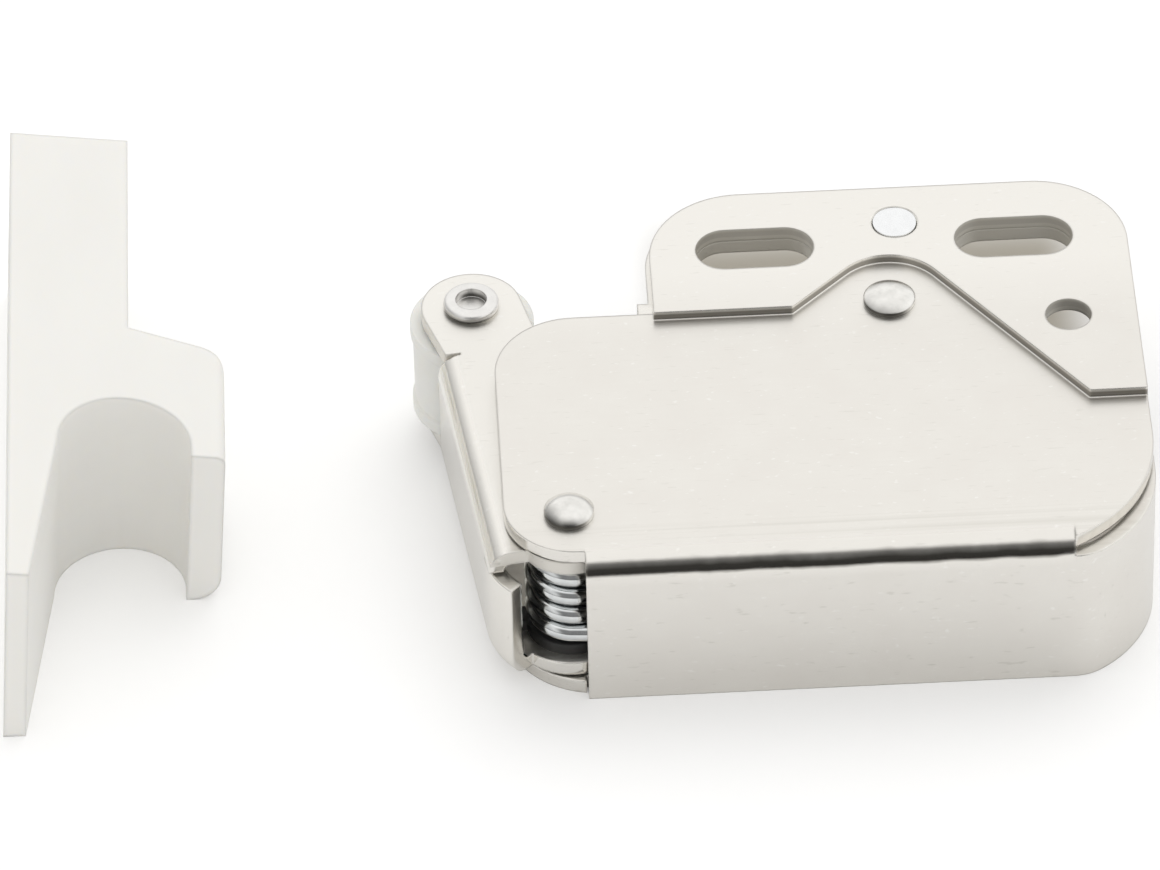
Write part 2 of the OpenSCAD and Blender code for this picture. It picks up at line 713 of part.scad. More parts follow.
// Block with the track: an inner lane, a return lane, and two crossings round an island
module cam_block() {
    a0 = lane_a0 - cam_side;
    a1 = lane_a1 + cam_side;
    color([0.09, 0.09, 0.10]) difference() {
        union() {
            slab(inner_z0, inner_z0 + hub_h) difference() {
                union() {
                    circle(hub_d / 2);
                    sector(bore_r / 2, lane_r0 - cam_wall / 2, a0, a1);
                    rotate(lever_turn - web_taper) translate([web_bend_r - web_out, 0])
                        square([web_out - web_bend_r, hub_d / 4]);
                }
                circle(bore_r);
            }
            slab(inner_z0, cam_z1) sector(lane_r0 - cam_wall, cam_r, a0, a1);
        }
        slab(track_z0, far) difference() {
            sector(lane_r0, return_r1, lane_a0, lane_a1);
            sector(lane_r1, return_r0, lane_a0 + cross_a, lane_a1 - cross_a);
        }
        rotate([0, 0, swing_push]) translate([0, -far - front_in + pass_gap, 0])
            cube([far, far, far]);
    }
}

// Wire with an eye on its rivet and its tip bent down into the track
module follower_link() {
    color([0.66, 0.67, 0.69]) translate([follower_x, follower_y, link_z]) {
        rotate_extrude() translate([eye_r, 0]) circle(link_d / 2);
        rotate([0, 0, link_turn]) {
            translate([eye_r, 0, 0]) rotate([0, 90, 0]) cylinder(d = link_d, h = link_len - eye_r);
            translate([link_len, 0, 0]) sphere(d = link_d);
            translate([link_len, 0, track_z0 + loose_gap - link_z])
                cylinder(d = link_d, h = link_z - track_z0 - loose_gap);
        }
    }
}

// Striker seen along its height: x from the mounting face, y from the front end
module strike_plan() {
    shoulder = [hook_reach - hook_r, hook_y] + hook_r * [sin(hook_slope), cos(hook_slope)];
    difference() {
        union() {
            polygon([[0, 0], [ramp_t, 0], [foot_t, hook_arch_y], [arch_x + hook_arch_r, hook_arch_y],
                [arch_x + hook_arch_r, finger_y], [hook_reach, finger_y], [hook_reach, hook_y], shoulder,
                [block_t, shoulder.y + (shoulder.x - block_t) * tan(hook_slope)],
                [block_t, strike_len], [0, strike_len]]);
            translate([hook_reach - hook_r, hook_y]) circle(hook_r);
        }
        translate([arch_x, hook_arch_y]) circle(hook_arch_r);
    }
}

// Section of the striker: x from the mounting face, y along its height
module strike_section() {
    tilt = [sin(strike_taper), cos(strike_taper)];
    upper_y = strike_h / 2 - (hook_reach - edge_upper_r) * tan(strike_taper)
        - edge_upper_r / cos(strike_taper);
    lower_y = (hook_reach - edge_lower_r) * tan(strike_taper) + edge_lower_r / cos(strike_taper)
        - strike_h / 2;
    upper = [hook_reach - edge_upper_r, upper_y];
    lower = [hook_reach - edge_lower_r, lower_y];
    polygon([[0, -strike_h / 2], lower + edge_lower_r * [tilt.x, -tilt.y], [hook_reach, lower.y],
        [hook_reach, upper.y], upper + edge_upper_r * tilt, [0, strike_h / 2]]);
    translate(upper) circle(edge_upper_r);
    translate(lower) circle(edge_lower_r);
}

module striker() {
    color([0.95, 0.94, 0.91]) translate([-strike_x, -strike_front, 0])
        rotate([0, strike_taper, -strike_turn]) translate([0, 0, strike_h / 2]) difference() {
            intersection() {
                slab(-strike_h, strike_h) strike_plan();
                rotate([90, 0, 0]) translate([0, 0, -strike_len - eps]) linear_extrude(strike_len + 2 * eps)
                    strike_section();
            }
            for (y = [strike_rear_hole, strike_rear_hole - strike_hole_pitch]) translate([0, y, 0])
                rotate([0, 90, 0]) {
                    translate([0, 0, -eps]) cylinder(d = strike_hole_d, h = far);
                    translate([0, 0, block_t - sink_h])
                        cylinder(d1 = strike_hole_d, d2 = strike_sink_d + 2 * eps, h = sink_h + eps);
                }
        }
}

in_frame() cover_shell();
in_frame() base_shell();
in_frame() pivot_rivet();
in_frame() pivot_sleeve();
in_frame() follower_rivet();
in_frame() lower_spacer();
in_frame() upper_spacer();
in_frame() flange_rivet();
in_frame() lever();
in_frame() roller_eyelet();
in_frame() roller();
in_frame() torsion_spring();
in_frame() cam_block();
in_frame() follower_link();
in_frame() striker();
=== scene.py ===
import json
import math

import bpy
from mathutils import Matrix, Vector


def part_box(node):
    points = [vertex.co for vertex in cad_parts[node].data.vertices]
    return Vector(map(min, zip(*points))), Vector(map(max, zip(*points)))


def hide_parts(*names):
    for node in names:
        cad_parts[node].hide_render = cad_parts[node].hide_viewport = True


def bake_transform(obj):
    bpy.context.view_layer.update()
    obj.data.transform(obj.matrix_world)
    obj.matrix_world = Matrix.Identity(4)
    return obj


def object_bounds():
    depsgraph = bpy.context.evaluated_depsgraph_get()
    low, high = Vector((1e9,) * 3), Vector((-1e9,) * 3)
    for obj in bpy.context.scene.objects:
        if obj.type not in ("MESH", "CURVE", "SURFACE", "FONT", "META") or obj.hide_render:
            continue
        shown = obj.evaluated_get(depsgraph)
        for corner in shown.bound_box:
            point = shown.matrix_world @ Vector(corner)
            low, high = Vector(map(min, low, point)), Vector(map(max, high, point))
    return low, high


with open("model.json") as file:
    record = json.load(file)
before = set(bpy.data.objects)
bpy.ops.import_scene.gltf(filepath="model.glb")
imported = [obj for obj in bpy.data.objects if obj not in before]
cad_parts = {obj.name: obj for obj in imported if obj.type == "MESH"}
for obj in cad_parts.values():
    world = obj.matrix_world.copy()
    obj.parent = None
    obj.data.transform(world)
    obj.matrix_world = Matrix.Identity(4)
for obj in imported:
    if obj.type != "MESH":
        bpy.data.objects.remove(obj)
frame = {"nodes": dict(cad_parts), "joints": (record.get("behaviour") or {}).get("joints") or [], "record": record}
start_lo, start_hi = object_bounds()
nodes = frame["nodes"]
joints = {joint["name"]: joint for joint in frame["joints"]}
mounts = {mount["name"]: mount for mount in frame["record"]["mounts"]}

# Places in metres, from the frame, apart from the pad's step above the cover plate

MM = 0.001
FLOOR_Z = round(start_lo[2], 5)
LEVER_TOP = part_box("lever")[1].z
EYELET_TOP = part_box("roller_eyelet")[1].z
PIVOT = Vector((*joints["lever_swing"]["pos_m"][:2], FLOOR_Z))
SLOTS = mounts["fixing_slots"]["dims"]
SLOT_NEAR_X = (SLOTS["spacing_x_mm"] - SLOTS["slot_length_mm"]) / 2 * MM
SLOT_FAR_X = (SLOTS["spacing_x_mm"] + SLOTS["slot_length_mm"]) / 2 * MM
SLOT_HALF_W = SLOTS["hole_r_mm"] * MM
HOLE_X, HOLE_Y = mounts["fixing_hole"]["pos_m"][:2]
HOLE_R = mounts["fixing_hole"]["dims"]["r_mm"] * MM
PAD_STEP = 0.6 * MM
PLATE_TOP = -PAD_STEP


# Shader nodes: a value is a socket, a float or, for a colour, a tuple

RISE, FALL = (0.0, 1.0), (1.0, 0.0)
BEVEL_SAMPLES = 8


def add(tree, kind, **values):
    node = tree.nodes.new(kind)
    for key, value in values.items():
        setattr(node, key, value)
    return node


def feed(tree, value, socket):
    if isinstance(value, tuple):
        socket.default_value = (*value, 1)
    elif isinstance(value, float):
        socket.default_value = value
    else:
        tree.links.new(value, socket)


def new_material(name):
    mat = bpy.data.materials.new(name)
    mat.use_nodes = True
    tree = mat.node_tree
    tree.nodes.clear()
    return mat, tree, add(tree, "ShaderNodeOutputMaterial")


def split(tree, vector):
    node = add(tree, "ShaderNodeSeparateXYZ")
    feed(tree, vector, node.inputs[0])
    return [node.outputs[axis] for axis in "XYZ"]


def surface(tree):
    """The place of a point in the object's frame, and the direction that it faces."""
    tc = add(tree, "ShaderNodeTexCoord")
    return split(tree, tc.outputs["Object"]), split(tree, tc.outputs["Normal"])


def calc(tree, operation, a, b=0.0):
    node = add(tree, "ShaderNodeMath", operation=operation)
    feed(tree, a, node.inputs[0])
    feed(tree, b, node.inputs[1])
    return node.outputs[0]


def times(tree, value, *others):
    for other in others:
        value = calc(tree, "MULTIPLY", value, other)
    return value


def plus(tree, value, *others):
    for other in others:
        value = calc(tree, "ADD", value, other)
    return value


def size_of(tree, value):
    return calc(tree, "ABSOLUTE", value)


def ramp(tree, value, span, out=RISE, kind="LINEAR"):
    """Goes from the first to the second of out while value crosses span, and stays level outside it."""
    node = add(tree, "ShaderNodeMapRange", clamp=True, interpolation_type=kind)
    limits = zip(("From Min", "From Max", "To Min", "To Max"), (*span, *out))
    for key, limit in limits:
        node.inputs[key].default_value = limit
    feed(tree, value, node.inputs["Value"])
    return node.outputs["Result"]


def soft(tree, value, span, out=RISE):
    """A ramp with gentle ends."""
    return ramp(tree, value, span, out, "SMOOTHSTEP")


def mix(tree, share, a, b):
    """Colour a with a share of colour b."""
    node = add(tree, "ShaderNodeMix", data_type="RGBA")
    feed(tree, share, node.inputs[0])
    feed(tree, a, node.inputs[6])
    feed(tree, b, node.inputs[7])
    return node.outputs[2]


def noise(tree, per_mm, turn=0.0, detail=4.0, rough=0.55):
    """Noise with per_mm waves in a millimetre along x, y and z, turned about z."""
    tc = add(tree, "ShaderNodeTexCoord")
    mapping = add(tree, "ShaderNodeMapping")
    mapping.inputs["Scale"].default_value = [waves / MM for waves in per_mm]
    mapping.inputs["Rotation"].default_value = (0, 0, turn)
    feed(tree, tc.outputs["Object"], mapping.inputs["Vector"])
    node = add(tree, "ShaderNodeTexNoise")
    for key, value in (("Scale", 1.0), ("Detail", detail), ("Roughness", rough)):
        node.inputs[key].default_value = value
    feed(tree, mapping.outputs["Vector"], node.inputs["Vector"])
    return node.outputs["Fac"]


def relief(tree, edge, *layers):
    """Surface direction with edges rounded by a radius, under bumps given as (height, strength, depth)."""
    rounded = add(tree, "ShaderNodeBevel", samples=BEVEL_SAMPLES)
    rounded.inputs["Radius"].default_value = edge
    normal = rounded.outputs["Normal"]
    for height, strength, depth in layers:
        node = add(tree, "ShaderNodeBump")
        node.inputs["Strength"].default_value = strength
        node.inputs["Distance"].default_value = depth
        feed(tree, height, node.inputs["Height"])
        feed(tree, normal, node.inputs["Normal"])
        normal = node.outputs["Normal"]
    return normal


def dress(tree, out, bsdf, tone, rough, normal):
    feed(tree, tone, bsdf.inputs["Base Color"])
    feed(tree, rough, bsdf.inputs["Roughness"])
    feed(tree, normal, bsdf.inputs["Normal"])
    feed(tree, bsdf.outputs[0], out.inputs["Surface"])


# Materials: spans of noise, depths of bumps and colours of marks

COMMON, RARE = (0.3, 0.7), (0.66, 0.72)
ROLLED, STREAKED = (0.35, 0.75), (0.42, 0.60)
FINE_DEPTH, DENT_DEPTH, FLOW_DEPTH = 0.01 * MM, 0.03 * MM, 0.05 * MM
FLECK, SCRATCH, STREAK = (0.97, 0.96, 0.93), (0.70, 0.68, 0.63), (0.76, 0.74, 0.69)
CUT_GREY = (0.52, 0.50, 0.45)
# Painted shade: dark reflection lines painted on the pad's step and along the cover's front fold, and shade
# painted on the front-left of the rivet and eyelet feet
STEP_SHADE, FOLD_SHADE, FOOT_SHADE = (0.22, 0.205, 0.18), (0.08, 0.074, 0.062), (0.06, 0.057, 0.05)

# Spans over which masks fade: places x, y and z, or parts of the direction that a face points in

FLAT_FACE_Z, UPRIGHT_FACE_Z = (0.96, 0.995), (0.2, 0.5)
CUT_NEAR, CUT_FAR = 0.15 * MM, 0.25 * MM
STEP_FOOT_Z = (PLATE_TOP, PLATE_TOP + 0.05 * MM)
STEP_HEAD_Z = (PLATE_TOP + 0.34 * MM, PLATE_TOP + 0.48 * MM)
STEP_FACE_Y, FOLD_FACE_Y = (-0.20, -0.05), (-0.55, -0.35)
FOLD_LOW_FACE_Z, FOLD_HIGH_FACE_Z = (0.26, 0.40), (0.54, 0.80)
FOLD_END_X = (8.0 * MM, 11.7 * MM)
FOLD_TAPER, FOLD_WANDER = (0.0, -0.30), (-0.05, 0.05)
STREAKS_Y, PAD_SHEEN_Y = (-23.6 * MM, -22.2 * MM), (-7.0 * MM, -2.0 * MM)
SHEARED_FADE = 0.05 * MM
# How the painted shade at a head's foot leans towards the front left
FOOT_SHADE_LEFT, FOOT_SHADE_FRONT, FOOT_SHADE_SPAN = -0.45, -0.9, (0.1, 0.7)

# Finish of sheet and plastic

SHEET_ROUGH, SATIN, CUT_ROUGH, SHEARED_ROUGH = (0.14, 0.20), 0.20, 0.40, 0.55
SHEET_EDGE, SHEET_GRAIN = 0.22 * MM, 0.08
CUT_METALLIC = 0.35
PLASTIC_IOR = 1.49
GLOW_DEPTH, GLOW_COLOURS = 0.6 * MM, (1.0, 0.9, 0.7)


def cut_walls(tree, x, y, upright):
    """1 on the sheared walls of the fixing slots and of the round hole, else 0."""
    def within(value, limit):
        return ramp(tree, value, (limit + CUT_NEAR, limit + CUT_FAR), FALL)

    along, across = size_of(tree, x), size_of(tree, y)
    past_middle = ramp(tree, along, (SLOT_NEAR_X - CUT_FAR, SLOT_NEAR_X - CUT_NEAR))
    slots = times(tree, past_middle, within(along, SLOT_FAR_X), within(across, SLOT_HALF_W))
    dx, dy = plus(tree, x, -HOLE_X), plus(tree, y, -HOLE_Y)
    apart = calc(tree, "SQRT", plus(tree, times(tree, dx, dx), times(tree, dy, dy)))
    return times(tree, calc(tree, "MAXIMUM", slots, within(apart, HOLE_R)), upright)


def front_fold_shade(tree, x, face_y, face_z, blotch):
    """1 along the cover's front fold, where a dark reflection is painted in as shade, a little uneven and narrower
    towards its right end, else 0.
    """
    uneven = plus(tree, face_z, ramp(tree, blotch, COMMON, FOLD_WANDER))
    tapered = plus(tree, uneven, ramp(tree, x, FOLD_END_X, FOLD_TAPER))
    return times(tree, ramp(tree, tapered, FOLD_LOW_FACE_Z), ramp(tree, uneven, FOLD_HIGH_FACE_Z, FALL),
                 ramp(tree, face_y, FOLD_FACE_Y, FALL))


def sheet_metal(name, light, dark, pale, sheared_from=None):
    """Plated sheet: satin faces, bright bends, rolled grain, scratches, and edges sheared above a height, with a
    painted paler sheen over the pad and painted dark reflections on the pad's step and the front fold.
    """
    mat, tree, out = new_material(name)
    bsdf = add(tree, "ShaderNodeBsdfPrincipled")
    (x, y, z), (_, face_y, face_z) = surface(tree)
    blotch = noise(tree, (0.35, 0.35, 0.35), detail=3.0)
    rolled = noise(tree, (0.18, 3.5, 3.5))
    fine = noise(tree, (7.0, 9.0, 9.0), detail=5.0, rough=0.7)
    scratches = ramp(tree, noise(tree, (0.9, 6.0, 3.0), turn=0.35, detail=2.0, rough=0.5), RARE)
    flecks = ramp(tree, noise(tree, (1.6, 3.2, 3.2), turn=-0.5, detail=2.0, rough=0.6), RARE)
    streaks = ramp(tree, noise(tree, (0.02, 2.4, 2.4), detail=2.0), STREAKED)

    flat = ramp(tree, size_of(tree, face_z), FLAT_FACE_Z)
    upright = ramp(tree, size_of(tree, face_z), UPRIGHT_FACE_Z, FALL)
    cut = cut_walls(tree, x, y, upright)
    # painted shade: a dark reflection line painted on the front-facing wall of the pad's step, weaker on the cut
    # walls
    step_shade = times(tree, upright, ramp(tree, face_y, STEP_FACE_Y, FALL), ramp(tree, z, STEP_FOOT_Z),
                 ramp(tree, z, STEP_HEAD_Z, FALL), ramp(tree, cut, RISE, (1.0, 0.3)))
    # painted shade: a dark reflection band painted along the cover's front fold
    fold_shade = front_fold_shade(tree, x, face_y, face_z, blotch)
    by_fold = times(tree, ramp(tree, y, STREAKS_Y, FALL), flat)

    tone = mix(tree, ramp(tree, blotch, COMMON), dark, light)
    marks = (
        (ramp(tree, rolled, ROLLED), 0.45, dark),
        # painted light: the sheet turns paler towards the rear, a lighter sheen painted over the pad
        (ramp(tree, y, PAD_SHEEN_Y), 0.85, pale),
        (flecks, 0.55, FLECK),
        (scratches, ramp(tree, upright, RISE, (0.30, 0.60)), SCRATCH),
        (times(tree, streaks, by_fold), 0.7, STREAK),
        (cut, 0.85, CUT_GREY),
        # painted shade along the pad's step
        (step_shade, 0.85, STEP_SHADE),
        # painted shade along the front fold
        (fold_shade, 0.92, FOLD_SHADE),
    )
    for mask, strength, colour in marks:
        tone = mix(tree, times(tree, mask, strength), tone, colour)

    rough = plus(tree, ramp(tree, fine, COMMON, SHEET_ROUGH), times(tree, flat, SATIN),
                 times(tree, cut, CUT_ROUGH))
    if sheared_from is not None:
        above = ramp(tree, z, (sheared_from, sheared_from + SHEARED_FADE), (0.0, SHEARED_ROUGH))
        rough = plus(tree, rough, times(tree, above, upright))
    normal = relief(tree, SHEET_EDGE, (rolled, SHEET_GRAIN, FINE_DEPTH),
                    (fine, SHEET_GRAIN * 0.7, FINE_DEPTH), (scratches, SHEET_GRAIN, FINE_DEPTH))
    feed(tree, ramp(tree, cut, RISE, (1.0, CUT_METALLIC)), bsdf.inputs["Metallic"])
    dress(tree, out, bsdf, tone, rough, normal)
    return mat


def turned_metal(name, light, dark, rough, edge, grain, foot=None):
    """Drawn or upset steel: small dents, mottled polish, and painted shade on the front-left side between the two
    heights in foot.
    """
    mat, tree, out = new_material(name)
    bsdf = add(tree, "ShaderNodeBsdfPrincipled")
    bsdf.inputs["Metallic"].default_value = 1.0
    dents = noise(tree, (1.6, 1.6, 1.6), detail=3.0)
    fine = noise(tree, (10.0, 10.0, 10.0), rough=0.7)
    tone = mix(tree, ramp(tree, dents, COMMON), dark, light)
    if foot:
        (_, _, z), (face_x, face_y, _) = surface(tree)
        # painted shade: a dark crescent on the front-left of the head's foot, where shade falls
        front_left = plus(tree, times(tree, face_x, FOOT_SHADE_LEFT), times(tree, face_y, FOOT_SHADE_FRONT))
        painted_foot_shade = times(tree, soft(tree, z, foot, (0.92, 0.0)), soft(tree, front_left, FOOT_SHADE_SPAN))
        tone = mix(tree, painted_foot_shade, tone, FOOT_SHADE)
    normal = relief(tree, edge, (dents, grain, DENT_DEPTH), (fine, grain * 0.5, FINE_DEPTH))
    dress(tree, out, bsdf, tone, ramp(tree, fine, COMMON, rough), normal)
    return mat


def plastic(name, light, dark, rough, edge, grain, glow=0.0):
    """Moulded plastic: satin skin with faint flow marks, and light that sinks in by a share of glow."""
    mat, tree, out = new_material(name)
    bsdf = add(tree, "ShaderNodeBsdfPrincipled")
    bsdf.inputs["IOR"].default_value = PLASTIC_IOR
    if glow:
        bsdf.inputs["Subsurface Weight"].default_value = glow
        bsdf.inputs["Subsurface Radius"].default_value = GLOW_COLOURS
        bsdf.inputs["Subsurface Scale"].default_value = GLOW_DEPTH
    flow = noise(tree, (0.25, 0.12, 0.3), detail=3.0)
    skin = noise(tree, (6.0, 6.0, 6.0), detail=5.0, rough=0.65)
    tone = mix(tree, ramp(tree, flow, COMMON), dark, light)
    normal = relief(tree, edge, (flow, grain, FLOW_DEPTH), (skin, grain * 0.6, FINE_DEPTH))
    dress(tree, out, bsdf, tone, ramp(tree, skin, COMMON, rough), normal)
    return mat


# pale: the colour of the lighter sheen painted over the pad
nickel = sheet_metal("nickel_sheet", light=(0.865, 0.845, 0.80), dark=(0.845, 0.82, 0.775),
                     pale=(0.92, 0.90, 0.855))
lever_nickel = sheet_metal("nickel_lever", light=(0.90, 0.88, 0.835), dark=(0.88, 0.86, 0.815),
                           pale=(0.92, 0.90, 0.855), sheared_from=LEVER_TOP - 0.95 * MM)
rivet = turned_metal("rivet_steel", light=(0.92, 0.91, 0.88), dark=(0.78, 0.77, 0.74), rough=(0.16, 0.26),
                     edge=0.20 * MM, grain=0.10, foot=(PLATE_TOP + 0.26 * MM, PLATE_TOP + 0.72 * MM))
eyelet = turned_metal("eyelet_steel", light=(0.90, 0.89, 0.87), dark=(0.82, 0.81, 0.79), rough=(0.26, 0.36),
                      edge=0.10 * MM, grain=0.06, foot=(EYELET_TOP - 0.48 * MM, EYELET_TOP - 0.12 * MM))
bright = turned_metal("bright_steel", light=(0.95, 0.96, 0.97), dark=(0.90, 0.91, 0.92), rough=(0.20, 0.32),
                      edge=0.05 * MM, grain=0.05)
plain = turned_metal("plain_steel", light=(0.60, 0.61, 0.62), dark=(0.50, 0.51, 0.52), rough=(0.28, 0.42),
                     edge=0.05 * MM, grain=0.10)
spring_steel = turned_metal("spring_steel", light=(0.80, 0.82, 0.82), dark=(0.68, 0.70, 0.71),
                            rough=(0.10, 0.18), edge=0.05 * MM, grain=0.05)
black = plastic("black_plastic", light=(0.030, 0.030, 0.029), dark=(0.018, 0.018, 0.018), rough=(0.40, 0.55),
                edge=0.15 * MM, grain=0.06)
roller_white = plastic("roller_plastic", light=(0.86, 0.86, 0.83), dark=(0.82, 0.82, 0.79),
                       rough=(0.30, 0.40), edge=0.15 * MM, grain=0.05, glow=0.5)
striker_white = plastic("striker_plastic", light=(0.905, 0.895, 0.86), dark=(0.89, 0.88, 0.845),
                        rough=(0.38, 0.52), edge=0.40 * MM, grain=0.05, glow=0.25)

LOOKS = {
    "cover_shell": nickel, "base_shell": nickel, "lever": lever_nickel,
    "pivot_rivet": rivet, "follower_rivet": rivet, "roller_eyelet": eyelet,
    "flange_rivet": bright, "pivot_sleeve": plain, "lower_spacer": plain, "upper_spacer": plain,
    "follower_link": plain, "torsion_spring": spring_steel, "cam_block": black,
    "roller": roller_white, "striker": striker_white,
}
for name, mat in LOOKS.items():
    mesh = nodes[name].data
    mesh.materials.clear()
    mesh.materials.append(mat)


# Torsion spring, a round wire between the lever's web and the front wall: millimetres from the pivot's foot, and
# degrees

COIL_R, WIRE_R, COIL_Z0, COIL_Z1 = 2.1, 0.6, 3.3, 7.9
WEB_LEG, WALL_LEG = 7.0, 5.0
WEB_OUT, SHEET_T, LOOSE_GAP = 5.0, 0.9, 0.15
LEVER_TURN, WEB_TAPER, WALL_LEG_TURN = 13.9, 6.5, 4.0
WEB_LEG_TURN = math.degrees(math.asin((WEB_OUT - SHEET_T - LOOSE_GAP - WIRE_R - COIL_R) / WEB_LEG))
COIL_START = 180 + LEVER_TURN - WEB_TAPER + WEB_LEG_TURN
COIL_END = 270 - WALL_LEG_TURN
COIL_TURNS = 3 + (COIL_END - COIL_START) / 360
LEG_STEPS, COIL_STEPS = 8, 220
WIRE_SIDES, END_RINGS, END_ROUND = 20, 3, 0.25


def spring_path():
    """Points along the wire: leg on the lever's web, coil from the top down, leg on the front wall."""
    def at(a, z):
        return Vector((COIL_R * math.cos(a), COIL_R * math.sin(a), z))

    def onward(a):
        return Vector((-math.sin(a), math.cos(a), 0))

    a0 = math.radians(COIL_START)
    sweep = 2 * math.pi * COIL_TURNS
    a1 = a0 + sweep
    points = [at(a0, COIL_Z1) - onward(a0) * WEB_LEG * (1 - i / LEG_STEPS) for i in range(LEG_STEPS)]
    for i in range(COIL_STEPS + 1):
        s = i / COIL_STEPS
        points.append(at(a0 + sweep * s, COIL_Z1 + (COIL_Z0 - COIL_Z1) * s))
    points += [at(a1, COIL_Z0) + onward(a1) * WALL_LEG * i / LEG_STEPS for i in range(1, LEG_STEPS + 1)]
    return points


def wire_rings(points, radius):
    """A ring (middle, side, up, radius) at each point, with more rings that round off both ends."""
    rings = []
    for k, p in enumerate(points):
        ahead = (points[min(k + 1, len(points) - 1)] - points[max(k - 1, 0)]).normalized()
        side = ahead.cross(Vector((0, 0, 1))).normalized()
        rings.append((p, side, side.cross(ahead), radius))
    depth = radius * END_ROUND

    def end_ring(ring, outward, t):
        p, side, up, _ = ring
        return p - outward * depth * (1 - math.sin(t)), side, up, radius - depth * (1 - math.cos(t))

    back = (points[0] - points[1]).normalized()
    front = (points[-1] - points[-2]).normalized()
    angles = [math.pi / 2 * i / END_RINGS for i in range(END_RINGS + 1)]
    head = [end_ring(rings[0], back, t) for t in reversed(angles)]
    tail = [end_ring(rings[-1], front, t) for t in angles]
    return head + rings[1:-1] + tail


def tube_mesh(name, rings, sides):
    """Closed tube through the rings, placed at the pivot."""
    verts = []
    for p, side, up, r in rings:
        for i in range(sides):
            t = 2 * math.pi * i / sides
            verts.append(PIVOT + (p + side * r * math.cos(t) + up * r * math.sin(t)) * MM)
    faces = []
    for k in range(len(rings) - 1):
        for i in range(sides):
            j = (i + 1) % sides
            faces.append((k * sides + i, (k + 1) * sides + i, (k + 1) * sides + j, k * sides + j))
    faces.append(tuple(range(sides)))
    faces.append(tuple((len(rings) - 1) * sides + i for i in range(sides - 1, -1, -1)))
    mesh = bpy.data.meshes.new(name)
    mesh.from_pydata(verts, [], faces)
    mesh.validate()
    mesh.polygons.foreach_set("use_smooth", [True] * len(mesh.polygons))
    mesh.update()
    obj = bpy.data.objects.new(name, mesh)
    bpy.context.scene.collection.objects.link(obj)
    return obj


wire = tube_mesh("torsion_spring_wire", wire_rings(spring_path(), WIRE_R), WIRE_SIDES)
wire.data.materials.append(spring_steel)
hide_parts("torsion_spring")
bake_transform(wire)


# Floor: white to the camera, with a painted shade under and behind the pad that the slots look onto

FLOOR_HALF = 3.0
FLOOR_LIFT = 0.17
FLOOR_LIGHT, FLOOR_DARK, FLOOR_SHADE = (0.95, 0.95, 0.95), (0.93, 0.93, 0.93), (0.40, 0.37, 0.31)
SHADE_FRONT_Y, SHADE_REAR_Y = (-12.0 * MM, -2.0 * MM), (11.2 * MM, 17.4 * MM)
SHADE_SIDE_X = (10.0 * MM, 15.0 * MM)
SHADE_DEPTH = 0.95


def floor_material():
    """Pale floor that keeps the shadow, lifted to white for the camera."""
    mat, tree, out = new_material("studio_floor")
    (x, y, _), _ = surface(tree)
    shade = times(tree, soft(tree, y, SHADE_FRONT_Y, (0.0, SHADE_DEPTH)), soft(tree, y, SHADE_REAR_Y, FALL),
                  soft(tree, size_of(tree, x), SHADE_SIDE_X, FALL))
    pale = mix(tree, noise(tree, (0.02, 0.02, 0.02), detail=2.0), FLOOR_DARK, FLOOR_LIGHT)
    diffuse = add(tree, "ShaderNodeBsdfDiffuse")
    feed(tree, mix(tree, shade, pale, FLOOR_SHADE), diffuse.inputs["Color"])
    path = add(tree, "ShaderNodeLightPath")
    lift = add(tree, "ShaderNodeEmission")
    lifted = ramp(tree, path.outputs["Is Camera Ray"], RISE, (0.0, FLOOR_LIFT))
    feed(tree, times(tree, lifted, ramp(tree, shade, RISE, FALL)), lift.inputs["Strength"])
    both = add(tree, "ShaderNodeAddShader")
    feed(tree, diffuse.outputs[0], both.inputs[0])
    feed(tree, lift.outputs[0], both.inputs[1])
    feed(tree, both.outputs[0], out.inputs["Surface"])
    return mat


def make_floor():
    corners = [(x * FLOOR_HALF, y * FLOOR_HALF, FLOOR_Z) for x, y in ((-1, -1), (1, -1), (1, 1), (-1, 1))]
    mesh = bpy.data.meshes.new("studio_floor")
    mesh.from_pydata(corners, [], [(0, 1, 2, 3)])
    obj = bpy.data.objects.new("studio_floor", mesh)
    bpy.context.scene.collection.objects.link(obj)
    mesh.materials.append(floor_material())


# Light: shares of a direction over which the tent changes, and levels of brightness

DIM_Z, DIM_Y, DIM_X = (0.70, 0.92), (-0.68, -0.40), (0.25, 0.60)
DIM_LEVEL = 0.24
LEFT_X, LEFT_LEVELS = (-0.95, -0.35), (0.45, 1.0)
LOW_Z, LOW_LEVELS = (0.0, 0.30), (0.50, 1.0)
EVEN_Y, EVEN_LEVELS = (-0.8, 0.8), (0.80, 0.98)
TENT_WHITE = (1.0, 0.995, 0.985)
KEY_AT, KEY_AIM = Vector((0.15, 0.35, 0.70)), Vector((-0.018, -0.003, 0))
KEY_SIZE, KEY_POWER = 0.60, 0.8


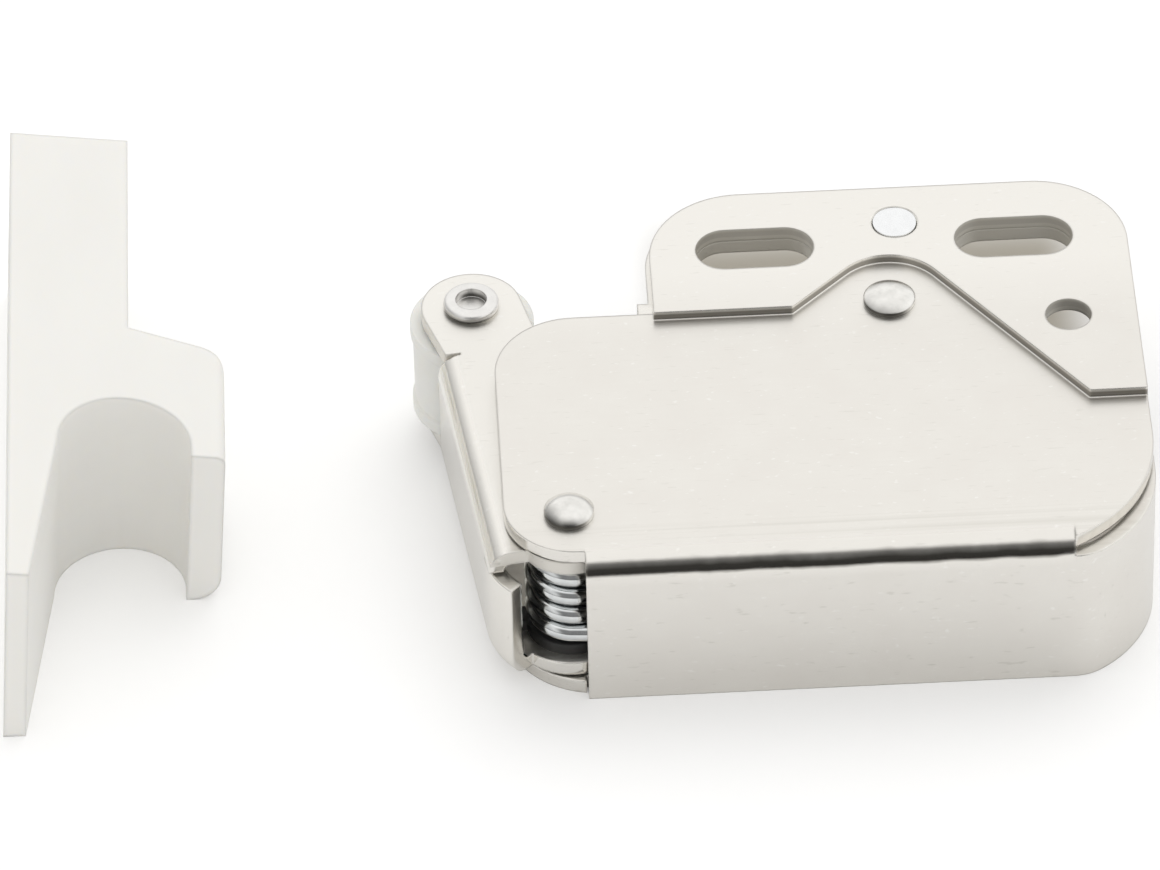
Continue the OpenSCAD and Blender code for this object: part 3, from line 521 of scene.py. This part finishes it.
def make_world():
    """Studio tent: even soft light, and in mirrors bright behind the object and dim towards the viewer."""
    world = bpy.data.worlds.new("studio")
    bpy.context.scene.world = world
    world.use_nodes = True
    tree = world.node_tree
    tree.nodes.clear()
    out = add(tree, "ShaderNodeOutputWorld")
    tc = add(tree, "ShaderNodeTexCoord")
    x, y, z = split(tree, tc.outputs["Generated"])
    viewer = times(tree, soft(tree, z, DIM_Z, FALL), soft(tree, y, DIM_Y, FALL),
                   soft(tree, size_of(tree, x), DIM_X, FALL))
    mirrored = times(tree, soft(tree, x, LEFT_X, LEFT_LEVELS), soft(tree, z, LOW_Z, LOW_LEVELS),
                     ramp(tree, viewer, RISE, (1.0, DIM_LEVEL)))
    path = add(tree, "ShaderNodeLightPath")
    level = add(tree, "ShaderNodeMix", data_type="FLOAT")
    feed(tree, path.outputs["Is Glossy Ray"], level.inputs[0])
    feed(tree, soft(tree, y, EVEN_Y, EVEN_LEVELS), level.inputs[2])
    feed(tree, mirrored, level.inputs[3])
    lit = add(tree, "ShaderNodeBackground")
    feed(tree, TENT_WHITE, lit.inputs["Color"])
    feed(tree, level.outputs[0], lit.inputs["Strength"])
    backdrop = add(tree, "ShaderNodeBackground")
    shown = add(tree, "ShaderNodeMixShader")
    feed(tree, path.outputs["Is Camera Ray"], shown.inputs[0])
    feed(tree, lit.outputs[0], shown.inputs[1])
    feed(tree, backdrop.outputs[0], shown.inputs[2])
    feed(tree, shown.outputs[0], out.inputs["Surface"])


def make_key_light():
    """Soft light from the upper right rear, left out of mirrors."""
    data = bpy.data.lights.new("key", "AREA")
    data.shape = "DISK"
    data.size = KEY_SIZE
    data.energy = KEY_POWER
    obj = bpy.data.objects.new("key", data)
    obj.location = KEY_AT
    obj.rotation_mode = "QUATERNION"
    obj.rotation_quaternion = (KEY_AIM - KEY_AT).to_track_quat("-Z", "Y")
    obj.visible_glossy = False
    bpy.context.scene.collection.objects.link(obj)


# Camera fitted to the photographed view: degrees, metres, and the photo's pixels

ELEVATION, AZIMUTH, ROLL = 41.952, -1.764, -1.502
CAMERA_AIM = Vector((-18.332 * MM, -3.30 * MM, FLOOR_Z))
CAMERA_DISTANCE = 594.5 * MM
CLIP_NEAR, CLIP_FAR = 0.01, 20.0
FOCAL_PX, PHOTO_WIDTH_PX = 10000, 1160
SENSOR_WIDTH = 36.0


def make_camera():
    el, az, roll = (math.radians(angle) for angle in (ELEVATION, AZIMUTH, ROLL))
    back = Vector((math.sin(az) * math.cos(el), -math.cos(az) * math.cos(el), math.sin(el)))
    right = Vector((math.cos(az), math.sin(az), 0))
    up = back.cross(right)
    x_axis = right * math.cos(roll) + up * math.sin(roll)
    y_axis = up * math.cos(roll) - right * math.sin(roll)
    data = bpy.data.cameras.new("camera")
    data.sensor_fit = "HORIZONTAL"
    data.sensor_width = SENSOR_WIDTH
    data.lens = FOCAL_PX / PHOTO_WIDTH_PX * SENSOR_WIDTH
    data.clip_start, data.clip_end = CLIP_NEAR, CLIP_FAR
    obj = bpy.data.objects.new("camera", data)
    place = CAMERA_AIM + back * CAMERA_DISTANCE
    obj.matrix_world = Matrix.Translation(place) @ Matrix((x_axis, y_axis, back)).transposed().to_4x4()
    bpy.context.scene.collection.objects.link(obj)
    bpy.context.scene.camera = obj


make_floor()
make_world()
make_key_light()
make_camera()

scene = bpy.context.scene
scene.view_settings.view_transform = "Standard"
